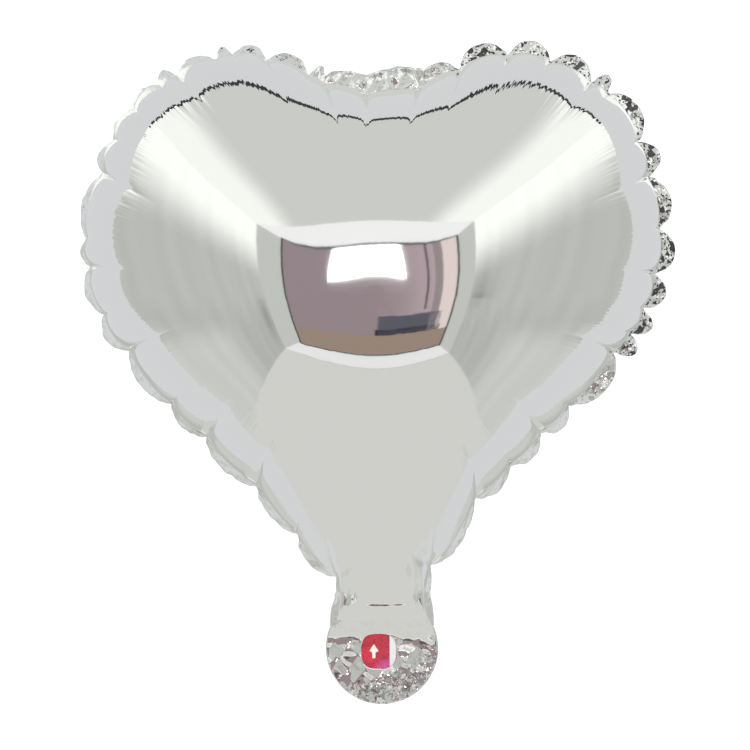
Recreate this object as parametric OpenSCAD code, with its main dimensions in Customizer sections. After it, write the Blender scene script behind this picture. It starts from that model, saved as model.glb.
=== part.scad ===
// Heart-shaped foil balloon, filled with gas. Two foil sheets are welded together round their edge.
// A self-sealing valve of two clear films runs up through the neck, and a flat tab below the neck
// carries the fill window. Upright: +Z is up, the front faces -Y, and the origin is at the neck's
// waist, where a ribbon is tied. Sizes are in millimetres.

/* [Heart] */
// Width of the gas-filled heart, between its edge welds
heart_w = 200; // [160:1:250]
// Height of the top of the lobes above the neck's waist
heart_h = 190; // [150:1:240]
// Thickness of the gas-filled heart at its fullest
heart_t = 106; // [60:1:120]
// Drop from the top of the lobes to the cleft between them
cleft_drop = 13; // [8:0.5:24]
// Width of the weld round the heart
edge_band = 4.5; // [3:0.1:7]

/* [Neck] */
// Width between the side welds at the waist
neck_w = 27; // [22:0.5:34]
// Width between the side welds at the neck's foot
foot_w = 31; // [26:0.5:36]
// Thickness of the gas-filled neck at the waist
neck_t = 15; // [10:0.5:20]
// Depth of the neck's foot below the waist
foot_drop = 10.5; // [8:0.5:16]
// Width of the welds down the neck's sides
neck_band = 3.5; // [2.5:0.1:5]
// Height of the weld across the neck's foot
cross_band = 2.4; // [1.5:0.1:4]

/* [Tab] */
// Length of the round tab below the fold that it hangs from
tab_l = 26.4; // [22:0.1:34]
// Width of the weld round the tab
tab_band = 3.5; // [2.5:0.1:5]
// Width and height of the fill window
window_size = 12.4; // [9:0.1:14]
// Radius of the fill window's corners
window_corner = 4.4; // [2:0.1:4.5]
// Distance from the fold down to the fill window
window_gap = 1.3; // [1:0.1:3]
// Offset of the fill window from the middle of the valve
window_shift = 1.8; // [-2:0.1:2]

/* [Valve] */
// Offset of the valve from the middle of the neck
valve_x = -2.9; // [-3:0.1:3]
// Gap between the valve's nearer edge and the neck's side weld
valve_gap = 0.6; // [0.4:0.1:2]
// Width of the straw's channel between the films' welds
channel_w = 11.2; // [9:0.1:13]
// Height of the valve's free end above the waist
valve_top = 48; // [30:1:80]
// Length of the valve's mouth below the fill window
mouth_margin = 2.3; // [1:0.1:4]
// Height of the release ink above the neck's foot
ink_rise = 4; // [2:0.5:8]
// Length of the printed arrow
arrow_l = 5; // [4:0.5:8]
// Width of the printed arrow's head
arrow_w = 3.4; // [2.5:0.1:5]

/* [Film] */
// Thickness of each foil sheet
foil_t = 0.3; // [0.2:0.05:0.5]
// Thickness of each valve film
film_t = 0.2; // [0.15:0.05:0.3]
// Gap between the valve films, which is also the thickness of their side welds
channel_gap = 0.2; // [0.15:0.05:0.3]
// Thickness of the release ink
ink_t = 0.08; // [0.05:0.01:0.1]
// Thickness of the arrow's ink
arrow_t = 0.05; // [0.03:0.01:0.06]
// Clearance between the tab, folded right over, and the neck's foot
fold_clear = 0.3; // [0.2:0.1:1]

/* [Hidden] */

silver = [0.80, 0.80, 0.79];
weld_silver = [0.70, 0.70, 0.71];
clear_film = [0.86, 0.90, 0.90];
ink_red = [0.78, 0.03, 0.12];
arrow_white = [0.95, 0.94, 0.90];

weld_t = 2 * film_t + channel_gap;   // the welds fill the space that the valve takes between the sheets
stack = weld_t / 2 + foil_t;         // half the thickness of the welded edge
foot_z = -foot_drop;
cross_bottom = foot_z - cross_band;
fold_limit = 120;                    // the tab folds this far each way, in degrees
// The tab's face clears the foot's corner when it is folded right over.
fold_gap = (stack + fold_clear + stack * cos(180 - fold_limit)) / sin(180 - fold_limit);
fold_z = cross_bottom - fold_gap;
tab_top = fold_z - stack;
// The tab's round edge runs through the foot's corners and the tab's lowest point.
foot_half = foot_w / 2 + neck_band;
tab_r = (foot_half * foot_half + tab_l * tab_l) / (2 * tab_l);
tab_z = fold_z - tab_l + tab_r;
window_x = valve_x + window_shift;
window_z = fold_z - window_gap - window_size / 2;
valve_w = neck_w - 2 * (abs(valve_x) + valve_gap);
mouth_bottom = fold_z - window_gap - window_size - mouth_margin;

// ---- Outline of the gas space: the right half, from the middle of the foot up to the cleft.
// The lobe and flank points are shares of the half width and of the height.
half_w = heart_w / 2;
flank = [[0.21, 0.071], [0.355, 0.171], [0.57, 0.284], [0.805, 0.416], [0.94, 0.521], [1, 0.653],
    [0.955, 0.80], [0.86, 0.903], [0.70, 0.968], [0.50, 1]];
// Points of the lobe's inner side: share of the half width, and share of the cleft's drop.
inner_lobe = [[0.34, 0.23], [0.17, 0.80], [0, 1]];
side_points = concat(
    [[foot_w / 2, foot_z], [neck_w / 2, 0]],
    [for (p = flank) [p.x * half_w, p.y * heart_h]],
    [for (p = inner_lobe) [p.x * half_w, heart_h - p.y * cleft_drop]]);
foot_steps = 3;   // points along half of the foot
span_steps = 4;   // points along the curve between two side points

// A smooth curve through the points b and c, with a and d as their neighbours.
function smooth(a, b, c, d, t) =
    0.5 * (2 * b + (c - a) * t + (2 * a - 5 * b + 4 * c - d) * t * t + (3 * b - a - 3 * c + d) * t * t * t);
function side_point(i) = let (last = len(side_points) - 1)
    i < 0 ? 2 * side_points[0] - side_points[1]
    : i > last ? [-side_points[last - 1].x, side_points[last - 1].y] : side_points[i];

half = concat(
    [for (i = [0 : foot_steps - 1]) [foot_w / 2 * i / foot_steps, foot_z]],
    [for (i = [0 : len(side_points) - 2], s = [0 : span_steps - 1])
        smooth(side_point(i - 1), side_point(i), side_point(i + 1), side_point(i + 2), s / span_steps)],
    [side_points[len(side_points) - 1]]);
n = len(half) - 1;
around = 2 * n;

// The whole outline as a loop, with its unit normals and the far edge of its weld.
function mirrored(i) = min(i, around - i);
function loop(k) = let (i = (k + around) % around, p = half[mirrored(i)]) i > n ? [-p.x, p.y] : p;
function normal(k) = let (t = loop(k + 1) - loop(k - 1)) [t.y, -t.x] / norm(t);
// The weld widens from the neck's band to the heart's over this share of the height.
band_change = 0.2;
function side_band(z) = z < 0 ? neck_band
    : neck_band + (edge_band - neck_band) * min(1, z / (band_change * heart_h));
function band(k) = let (i = mirrored(k), side = k > n ? -1 : 1)
    i < foot_steps ? [0, -cross_band]
    : i == foot_steps ? [side * neck_band, -cross_band] : side_band(loop(k).y) * normal(k);

// ---- Height of the gas space above its mid plane. Each point of the outline has a ray from the
// spine, the line up the middle, and the sheet's section along the ray is near an ellipse.
spine_low = 0.25 * foot_z;
spine_high = 0.6 * heart_h;
foot_thinning = 0.1;   // share of the neck's thickness that is lost by its foot
section_power = 2.6;   // 2 would be an ellipse
rings = 10;            // rings of points from the weld to the spine
low_i = max([for (i = [0 : n]) if (half[i].y <= spine_low) i]);
high_i = min([for (i = [0 : n]) if (half[i].y >= spine_high) i]);
function spine_z(i) = max(spine_low, min(spine_high, half[i].y));
function fullness(z) = z < 0
    ? neck_t / 2 * (1 - foot_thinning * pow(z / foot_z, 2))
    : neck_t / 2 + (heart_t - neck_t) / 2 * sin(90 * z / spine_high);
function spine_index(k) = max(low_i, min(high_i, mirrored((k + around) % around))) - low_i;
spine_count = high_i - low_i + 1;

// A point of the dome: ring 0 is at the weld and the last ring is the spine.
function dome_point(k, ring, inset, lift) = let (
    z = spine_z(mirrored(k)), r = cos(90 * ring / rings), s = [0, z],
    p = s + (loop(k) - inset * normal(k) - s) * r,
    y = weld_t / 2 + lift + fullness(z) * sqrt(1 - pow(r, section_power)))
    [p.x, -y, p.y];

ring_points = [
    for (k = [0 : around - 1]) let (p = loop(k) + band(k)) [p.x, -weld_t / 2, p.y],
    for (k = [0 : around - 1]) let (p = loop(k) + band(k)) [p.x, -stack, p.y],
    for (ring = [0 : rings - 1], k = [0 : around - 1]) dome_point(k, ring, 0, foil_t),
    for (ring = [0 : rings - 1], k = [0 : around - 1]) dome_point(k, ring, foil_t, 0)];
spine_points = [
    for (lift = [foil_t, 0], i = [low_i : high_i])
        [0, -(weld_t / 2 + lift + fullness(spine_z(i))), spine_z(i)]];
first_outer = 2;
first_inner = 2 + rings;
spine_start = len(ring_points);

function at(ring, k) = ring * around + (k % around);
function spine_at(layer, k) = spine_start + layer * spine_count + spine_index(k);
function strip(a, b) = [for (k = [0 : around - 1])
    each [[at(a, k), at(b, k), at(b, k + 1)], [at(a, k), at(b, k + 1), at(a, k + 1)]]];
function cap(a, layer) = [for (k = [0 : around - 1]) let (s = spine_at(layer, k), e = spine_at(layer, k + 1))
    each concat([[at(a, k), s, at(a, k + 1)]], s == e ? [] : [[s, e, at(a, k + 1)]])];
function turned(faces) = [for (f = faces) [f[0], f[2], f[1]]];
panel_faces = concat(
    strip(0, 1), strip(1, first_outer),
    [for (ring = [0 : rings - 2]) each strip(first_outer + ring, first_outer + ring + 1)],
    cap(first_outer + rings - 1, 0),
    turned(strip(0, first_inner)),
    [for (ring = [0 : rings - 2]) each turned(strip(first_inner + ring, first_inner + ring + 1))],
    turned(cap(first_inner + rings - 1, 1)));

// One foil sheet of the heart and neck: a full dome with a flat weld band round it.
module panel() {
    color(silver) polyhedron(concat(ring_points, spine_points), panel_faces);
}
module front_panel() panel();
module back_panel() mirror([0, 1, 0]) panel();

// A flat layer drawn as seen from the front, from its near face at y to its far face at y + t.
module layer(y, t) translate([0, y + t, 0]) rotate([90, 0, 0]) linear_extrude(t) children();

// The fused layer between the sheets, round the heart and down both sides of the neck.
module edge_weld() {
    last = around - foot_steps;
    color(weld_silver) layer(-weld_t / 2, weld_t) polygon(concat(
        [for (k = [foot_steps : last]) loop(k) + band(k)],
        [for (k = [last : -1 : foot_steps]) loop(k)]));
}

// The weld across the neck's foot, each side of the valve.
module cross_weld() {
    color(weld_silver) layer(-weld_t / 2, weld_t) for (side = [-1, 1]) {
        valve_edge = valve_x + side * valve_w / 2;
        polygon([[valve_edge, foot_z], [side * foot_w / 2, foot_z],
            [side * foot_half, cross_bottom], [valve_edge, cross_bottom]]);
    }
}

// ---- Valve: films, side welds and release ink between two heights.
module valve_strip(x0, x1, z0, z1, y, t) layer(y, t) translate([valve_x + x0, z0]) square([x1 - x0, z1 - z0]);
module film_pair(z0, z1, side) {
    y = side < 0 ? -weld_t / 2 : channel_gap / 2;
    color(clear_film) valve_strip(-valve_w / 2, valve_w / 2, z0, z1, y, film_t);
}
module side_welds(z0, z1) {
    color(clear_film) for (side = [-1, 1]) {
        edges = [side * channel_w / 2, side * valve_w / 2];
        valve_strip(min(edges), max(edges), z0, z1, -channel_gap / 2, channel_gap);
    }
}
module release_ink(z0, z1) {
    color(ink_red) valve_strip(-channel_w / 2, channel_w / 2, z0, z1, channel_gap / 2 - ink_t, ink_t);
}
module valve_front_film() film_pair(cross_bottom, valve_top, -1);
module valve_back_film() film_pair(cross_bottom, valve_top, 1);
module valve_side_welds() side_welds(cross_bottom, valve_top);
module release_ink_upper() release_ink(cross_bottom, foot_z + ink_rise);
module mouth_front_film() film_pair(mouth_bottom, tab_top, -1);
module mouth_back_film() film_pair(mouth_bottom, tab_top, 1);
module mouth_side_welds() side_welds(mouth_bottom, tab_top);
module release_ink_lower() release_ink(mouth_bottom, tab_top);

// The arrow that shows where the straw goes in, printed on the release ink.
module fill_arrow() {
    y = channel_gap / 2 - ink_t - arrow_t;
    color(arrow_white) layer(y, arrow_t) translate([valve_x, window_z]) polygon([
        [0, arrow_l / 2], [arrow_w / 2, 0], [arrow_w / 6, arrow_l / 12], [arrow_w / 6, -arrow_l / 2],
        [-arrow_w / 6, -arrow_l / 2], [-arrow_w / 6, arrow_l / 12], [-arrow_w / 2, 0]]);
}

// ---- Tab: two flat sheets, welded round their edge. The front one has the fill window.
module tab_outline(top, inset = 0) intersection() {
    translate([0, tab_z]) circle(tab_r - inset, $fn = 96);
    translate([-tab_r, top - inset - 2 * tab_r]) square(2 * tab_r);
}
module window_outline() {
    straight = window_size - 2 * window_corner;
    translate([window_x, window_z]) {
        square([window_size, straight], center = true);
        square([straight, window_size], center = true);
        for (x = [-1, 1], z = [-1, 1])
            translate([x, z] * straight / 2) circle(window_corner, $fn = 32);
    }
}
module tab_front_sheet() {
    color(silver) layer(-stack, foil_t) difference() {
        tab_outline(tab_top);
        window_outline();
    }
}
module tab_back_sheet() color(silver) layer(weld_t / 2, foil_t) tab_outline(tab_top);

// The weld round the tab, each side of the valve at its top, and the rolled fold that the tab turns on.
module tab_weld() {
    color(weld_silver) {
        layer(-weld_t / 2, weld_t) difference() {
            tab_outline(fold_z);
            tab_outline(fold_z, tab_band);
            translate([valve_x - valve_w / 2, mouth_bottom]) square([valve_w, tab_top - mouth_bottom]);
        }
        translate([-foot_half, 0, fold_z]) rotate([0, 90, 0]) cylinder(r = stack, h = 2 * foot_half, $fn = 32);
    }
}

front_panel();
back_panel();
edge_weld();
cross_weld();
valve_front_film();
valve_back_film();
valve_side_welds();
release_ink_upper();
tab_front_sheet();
tab_back_sheet();
tab_weld();
mouth_front_film();
mouth_back_film();
mouth_side_welds();
release_ink_lower();
fill_arrow();
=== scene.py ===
"""A heart-shaped foil balloon: two sheets of metallised film on one gathered seam, and a film valve."""

import bmesh
import bpy
import numpy as np
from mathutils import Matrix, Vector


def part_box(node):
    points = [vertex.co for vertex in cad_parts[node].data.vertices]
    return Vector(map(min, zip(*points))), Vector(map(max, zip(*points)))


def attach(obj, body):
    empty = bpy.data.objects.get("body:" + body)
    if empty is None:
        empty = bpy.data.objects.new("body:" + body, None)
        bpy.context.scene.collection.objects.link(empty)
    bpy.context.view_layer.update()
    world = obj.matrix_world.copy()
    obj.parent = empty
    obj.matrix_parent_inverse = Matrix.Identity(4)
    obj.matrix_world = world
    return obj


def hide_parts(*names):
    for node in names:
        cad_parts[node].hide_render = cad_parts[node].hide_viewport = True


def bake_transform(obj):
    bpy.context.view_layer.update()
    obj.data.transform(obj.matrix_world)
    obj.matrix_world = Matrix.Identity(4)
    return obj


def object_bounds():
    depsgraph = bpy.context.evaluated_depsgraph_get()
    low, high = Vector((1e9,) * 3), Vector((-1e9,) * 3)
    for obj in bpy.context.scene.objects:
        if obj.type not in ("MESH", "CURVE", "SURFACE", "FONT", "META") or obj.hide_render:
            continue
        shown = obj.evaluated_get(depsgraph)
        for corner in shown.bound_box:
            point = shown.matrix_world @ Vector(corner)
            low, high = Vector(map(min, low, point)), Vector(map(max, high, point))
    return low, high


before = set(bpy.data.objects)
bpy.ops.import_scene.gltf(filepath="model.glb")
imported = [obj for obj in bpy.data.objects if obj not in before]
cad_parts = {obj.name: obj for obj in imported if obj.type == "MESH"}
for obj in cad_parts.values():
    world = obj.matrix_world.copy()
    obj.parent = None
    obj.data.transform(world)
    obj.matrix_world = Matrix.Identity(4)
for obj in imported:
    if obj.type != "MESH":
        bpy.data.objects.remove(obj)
cad_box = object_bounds()

# ---- Seam ----------------------------------------------------------------------------------------
# The seam is the line along which the two sheets are heat-sealed. It was sealed flat, and the gas
# has drawn it shorter, so it runs in short arcs between pinches. Both sheets hang on this line.

MM = 0.001
panel_low, panel_high = (np.array(corner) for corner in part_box("front_panel"))
cross_low, cross_high = (np.array(corner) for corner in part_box("cross_weld"))
seal_width = 4.5 * MM
heart_half = panel_high[0] - seal_width
heart_top = panel_high[2] - seal_width
cleft_drop = 13 * MM
neck_half = 13.5 * MM
foot_half = 15.5 * MM
foot = cross_high[2]
tab_line = cross_low[2]

# Shares of the half width and of the height, from the neck's waist up the side and over the lobe.
side_shares = np.array([
    [0.21, 0.071], [0.355, 0.171], [0.57, 0.284], [0.805, 0.416], [0.94, 0.521],
    [1, 0.653], [0.955, 0.80], [0.86, 0.903], [0.70, 0.968], [0.50, 1]])
# Shares of the half width and of the cleft's drop, down the lobe's inner side.
cleft_shares = np.array([[0.34, 0.23], [0.17, 0.80], [0, 1]])


def curve_through(points, steps):
    """A curve through every point. Each span is the cubic whose slope at a point is half the step
    between that point's two neighbours."""
    before, start, end, after = (
        part[:, None, :] for part in (points[:-3], points[1:-2], points[2:-1], points[3:]))
    t = np.linspace(0, 1, steps, endpoint=False)[None, :, None]
    spans = 0.5 * (2 * start + (end - before) * t
                   + (2 * before - 5 * start + 4 * end - after) * t ** 2
                   + (3 * start - before - 3 * end + after) * t ** 3)
    return spans.reshape(-1, 2)


def even_steps(points, count):
    """The same closed line at equal steps along its length, and that length."""
    closed = np.vstack([points, points[:1]])
    so_far = np.concatenate([[0], np.cumsum(np.linalg.norm(np.diff(closed, axis=0), axis=1))])
    places = np.linspace(0, so_far[-1], count, endpoint=False)
    return np.stack([np.interp(places, so_far, closed[:, i]) for i in (0, 1)], axis=1), so_far[-1]


corners = np.vstack([
    [[foot_half, foot], [neck_half, 0]],
    side_shares * [heart_half, heart_top],
    cleft_shares * [heart_half, -cleft_drop] + [0, heart_top]])
# A point past each end gives the curve its slope there.
ends = 2 * corners[:1] - corners[1:2], corners[-2:-1] * [-1, 1]
span_steps = 40
right_side = np.vstack([
    curve_through(np.vstack([ends[0], corners, ends[1]]), span_steps), corners[-1:]])
left_side = right_side * [-1, 1]
seam_count = 2048
outline, seam_length = even_steps(np.vstack([right_side[::-1], left_side[:-1]]), seam_count)

# Distance along the seam from the cleft, negative on the left side.
along = np.arange(seam_count) * seam_length / seam_count
along = np.where(along > seam_length / 2, along - seam_length, along)
foot_corner = seam_length / 2 - foot_half
forwards = np.roll(outline, -1, axis=0) - np.roll(outline, 1, axis=0)
out_of_seam = np.stack([-forwards[:, 1], forwards[:, 0]], axis=1)
out_of_seam /= np.linalg.norm(out_of_seam, axis=1, keepdims=True)

# Each pinch: its distance along the seam, how far it draws the seam in, how far its crease runs up
# the sheet, and how far the crease leans to the side by its end, in millimetres.
pinches = np.array([
    (-324, 0.4, 4, 0), (-293, 2.2, 13, 2), (-273, 1.5, 6, -1), (-250, 1.6, 14, 2), (-225, 1.6, 15, 3),
    (-208, 1.5, 6, 1), (-184, 1.7, 16, 3), (-169, 1.2, 5, 0), (-152, 1.5, 14, -1), (-142, 1.2, 4, 0),
    (-119, 1.8, 20, -3), (-107, 1.4, 6, 1), (-94, 1.6, 6, 0), (-82, 1.0, 4, 0), (-75, 1.7, 16, 2),
    (-60, 1.1, 4, 0), (-54, 1.2, 5, 0), (-42, 1.4, 9, 2), (-26, 1.2, 4, 0), (-20, 1.5, 21, 1),
    (-4.5, 1.4, 21, -1), (15.5, 1.4, 21, 1), (31, 1.5, 19, 2), (49, 1.5, 12, 1), (64, 1.4, 8, -1),
    (80, 1.6, 15, 1), (87, 1.0, 4, 0), (107, 1.4, 6, 0), (120, 1.5, 12, 1), (139, 1.3, 5, 0),
    (155, 1.5, 12, -1), (168, 1.2, 5, 0), (178, 1.1, 4, 0), (187, 1.6, 13, -2), (212, 1.3, 4, 0),
    (226, 1.8, 11, -2), (242, 1.2, 4, 0), (259, 1.8, 11, -2), (288, 2.4, 13, -2), (324.5, 0.4, 4, 0)]) * MM
place, pull, crease, crease_lean = pinches.T

# The gas pulls the left side a little further out than the right one.
lean_places = np.array([
    -325, -312, -293, -273, -250, -225, -208, -184, -170, -142, -119, -90, -60, -20, 0,
    15, 31, 80, 120, 150, 187, 230, 259, 280, 300, 312, 325])
lean_values = np.array([
    0, 0.4, 2.4, 3.6, 3.4, 3.8, 4.4, 3.8, 4.6, 5.0, 3.2, 2.2, 1.8, 1.4, 1.0,
    1.2, 1.8, 1.8, 1.0, 1.6, 0.6, 0.6, 0.8, 2.8, 1.6, 0.4, 0])

# Positions of the columns of points along the seam, closest together at the pinches. Each pair is
# how many times closer they lie at a pinch, and how far to its sides.
column_count = 1024
pinch_crowding = ((1.2, 2.2 * MM), (1.4, 0.8 * MM))
crowd = 1 + sum(
    closer * np.exp(-(np.abs(along[:, None] - place[None, :]) / reach) ** 2).max(axis=1)
    for closer, reach in pinch_crowding)
crowd_sum = np.concatenate([[0], np.cumsum(crowd)])
wanted = np.linspace(0, crowd_sum[-1], column_count, endpoint=False)
column = np.interp(wanted, crowd_sum, np.arange(seam_count + 1)) * seam_length / seam_count
column = np.where(column > seam_length / 2, column - seam_length, column)
on_foot = np.abs(column) >= foot_corner


def along_seam(values, at):
    """Values known at the seam's even steps, read at other distances along it."""
    known_at = np.arange(seam_count) * seam_length / seam_count
    return np.interp(at % seam_length, known_at, values, period=seam_length)


def lobes(at):
    """For distances along the seam: the pinch before each, how far it lies through its lobe, and
    its nearness to a pinch. That is 0 in the lobe's middle and rises to 1 at its ends by a power,
    the lobe's length over 7 mm, from 1.6 to 4, so a long lobe turns sharply at its ends."""
    before = np.clip(np.searchsorted(place, at) - 1, 0, len(place) - 2)
    length = np.diff(place)[before]
    share = np.clip((at - place[before]) / length, 0, 1)
    return before, share, np.abs(2 * share - 1) ** np.clip(length / (7 * MM), 1.6, 4)


# Each lobe swings forwards or backwards by half a millimetre, as a squared sine wave.
lobe_before, lobe_share, pinched = lobes(along)
swing = np.random.default_rng(7).choice([-0.5, 0.5], len(place)) * MM
seam_swing = swing[lobe_before] * np.sin(np.pi * lobe_share) ** 2
seam_swing = np.where(np.abs(along) >= foot_corner, 0, seam_swing)
gas_lean = np.interp(along, lean_places * MM, lean_values * MM)
seam_offset = gas_lean - np.interp(along, place, pull) * pinched
seam_offset = np.where(np.abs(along) >= foot_corner, 0, seam_offset)
seam_plan = outline + out_of_seam * seam_offset[:, None]

# ---- Front and back sheets -----------------------------------------------------------------------
# Two sheets of nylon film, metallised on the outside, each cut as a heart with a round tab and less
# than 0.04 mm thick. The gas domes them, and the spare length of their edge gathers into creases.

film = 0.04 * MM
spine_top = 0.6 * heart_top
spine_foot = 5 * MM
neck_depth = 7.5 * MM
heart_depth = -panel_low[1] - 0.6 * MM

# The rings of points from the seam, of size 1, to the middle, of size 0, closest at the seam.
ring_count = 50
ring_size = np.cos(np.pi / 2 * (np.arange(ring_count + 1) / ring_count) ** 1.3)
ring_size[-1] = 0

# A sheet that can gather but not stretch takes one section: at a share r of the way out, its slope
# is r squared over the root of one less r to the fourth. Steps are short at the steep rim.
out_share = 1 - np.linspace(0, 1, 4001)[1:] ** 2
slope = out_share ** 2 / np.sqrt(1 - out_share ** 4)
climb = np.concatenate([[0], np.cumsum(slope * -np.diff(np.concatenate([[1], out_share])))])


def dome_at(share):
    """Height of the section at a share of the way out, from 1 in the middle to 0 at the rim."""
    return np.interp(1 - share, 1 - np.concatenate([[1], out_share]), climb / climb[-1])


def shrinking_waves(values):
    """Values on rings, smoothed towards the middle. Those on a ring of size r are split into waves
    round it, and a wave with n turns is kept at r to the power n."""
    waves = np.fft.rfft(values, axis=1)
    kept = ring_size[:, None] ** np.arange(waves.shape[1])
    return np.fft.irfft(waves * kept, n=values.shape[1], axis=1)


def shrinking_rings(line):
    """Rings inside a closed line, whose waves shrink inwards, so the middle is smooth."""
    return shrinking_waves(np.tile(line, (ring_count + 1, 1)))


def spine_height(z):
    """Height of the dome over its middle line. It rises as a quarter sine wave from the neck to
    the heart's fullest point, and falls to the foot by the power 1.3 of the way there."""
    rise = neck_depth + (heart_depth - neck_depth) * np.sin(np.pi / 2 * np.clip(z / spine_top, 0, 1))
    close = np.clip((spine_foot - z) / (spine_foot - foot), 0, 1)
    return rise * (1 - close ** 1.3)


# The dome's points before the creases. The way out is measured along rings of the smooth outline.
plan_x = shrinking_rings(seam_plan[:, 0])
plan_z = shrinking_rings(seam_plan[:, 1])
cut_rings = [np.diff(shrinking_rings(part), axis=0) for part in outline.T]
run_in = np.hypot(*cut_rings).cumsum(axis=0)
share_out = shrinking_waves(1 - np.vstack([np.zeros(seam_count), run_in / run_in[-1]]))
dome = dome_at(np.clip(share_out, 0, 1))
foot_column = seam_count // 2
middle_ratio = spine_height(plan_z[1:, foot_column]) / (heart_depth * dome[1:, foot_column])
plan_height = heart_depth * dome * np.interp(plan_z, plan_z[1:, foot_column], middle_ratio)
plan_inward = np.hypot(plan_x - plan_x[:1], plan_z - plan_z[:1])


def normals(grid):
    """Unit normals of a closed grid of points, from the cross product of its two directions."""
    across = np.roll(grid, -1, axis=1) - np.roll(grid, 1, axis=1)
    normal = np.cross(across, np.gradient(grid, axis=0))
    return normal / np.maximum(np.linalg.norm(normal, axis=2, keepdims=True), 1e-12)


def zigzag(u, v, size, depth, seed, folds):
    """Height of crumpled film: zigzag folds in several directions, added up. Each zigzag falls and
    rises evenly once in about the given size."""
    total = 0
    for direction, shift, stretch in np.random.default_rng(seed).random((folds, 3)):
        turn = 2 * np.pi * direction
        steps = (u * np.cos(turn) + v * np.sin(turn)) / (size * (0.6 + stretch)) + shift
        total = total + np.abs(2 * (steps % 1) - 1) - 0.5
    return depth * total / np.sqrt(folds)


def fade(value, start, end):
    """0 up to the start, 1 from the end on, and a smooth step between them."""
    t = np.clip((value - start) / (end - start), 0, 1)
    return t * t * (3 - 2 * t)


# Folds of the neck: where each starts and ends, across and up, its depth, and its half width, in
# millimetres. The gas-filled neck kinks at its left and right, and has a dent across it low down.
neck_folds = np.array([
    (-17.5, 4.0, -10.5, 9.5, 1.1, 0.7), (-11.5, 9.0, -8.0, 12.5, 0.5, 0.7),
    (-11.5, 8.5, -8.5, 6.5, 0.5, 0.7), (-12.5, 6.0, -12.5, -5.5, 0.7, 1.2),
    (-10.3, 6.5, -9.8, -3.5, 0.45, 1.0), (19.0, 9.0, 12.0, 12.5, 1.1, 0.7),
    (17.0, 17.0, 12.5, 11.5, 0.8, 0.7), (13.2, 6.5, 13.0, -9.5, 0.6, 1.0),
    (11.0, 11.5, 10.5, 5.0, 0.45, 0.9), (-7.5, -4.2, 10.5, -4.0, 0.9, 1.5),
    (3.6, -4.5, 3.8, -12.0, 0.5, 0.6), (-9.0, -6.5, -5.5, -9.5, 0.35, 1.3),
    (10.5, -5.0, 11.0, -11.5, 0.4, 1.0)]) * MM


def folded(x, z):
    """Depth of the folds at points of the neck. Each falls off as an exponential to both sides of
    its line, and fades out at either end."""
    depth = np.zeros_like(x)
    for x0, z0, x1, z1, deep, half in neck_folds:
        length = np.hypot(x1 - x0, z1 - z0)
        run = ((x - x0) * (x1 - x0) + (z - z0) * (z1 - z0)) / length ** 2
        aside = np.abs((x - x0) * (z1 - z0) - (z - z0) * (x1 - x0)) / length
        ends_fade = fade(run, -0.15, 0.25) * fade(1.15 - run, 0, 0.4)
        depth += deep * ends_fade * np.exp(-aside / half)
    return depth


# The tab's round edge runs through the foot's corners and the tab's lowest point. Along the seam
# the two sheets lie a hair apart, with the seal between them.
tab_low, tab_high = (np.array(corner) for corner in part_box("tab_back_sheet"))
tab_radius = (tab_high[0] - tab_low[0]) / 2
tab_middle = tab_low[2] + tab_radius
corner_angle = np.pi - np.arccos((tab_line - tab_middle) / tab_radius)
corner_x = tab_radius * np.sin(corner_angle)
rim_gap = 0.08 * MM


def tab_gap(x, z):
    """Half the gap between the tab's sheets. They part for the valve, and meet at the round edge."""
    room = fade(tab_radius - np.hypot(x, z - tab_middle), 0, 3.5 * MM)
    return (0.12 + 0.28 * room) * MM


long_crease, full_crease = 8 * MM, 12 * MM
pillow_depth, pillow_reach = 1.1 * MM, 13 * MM
lobe_depth, lobe_reach = 0.45 * MM, 5 * MM
back_fold_share = 0.6


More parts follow.
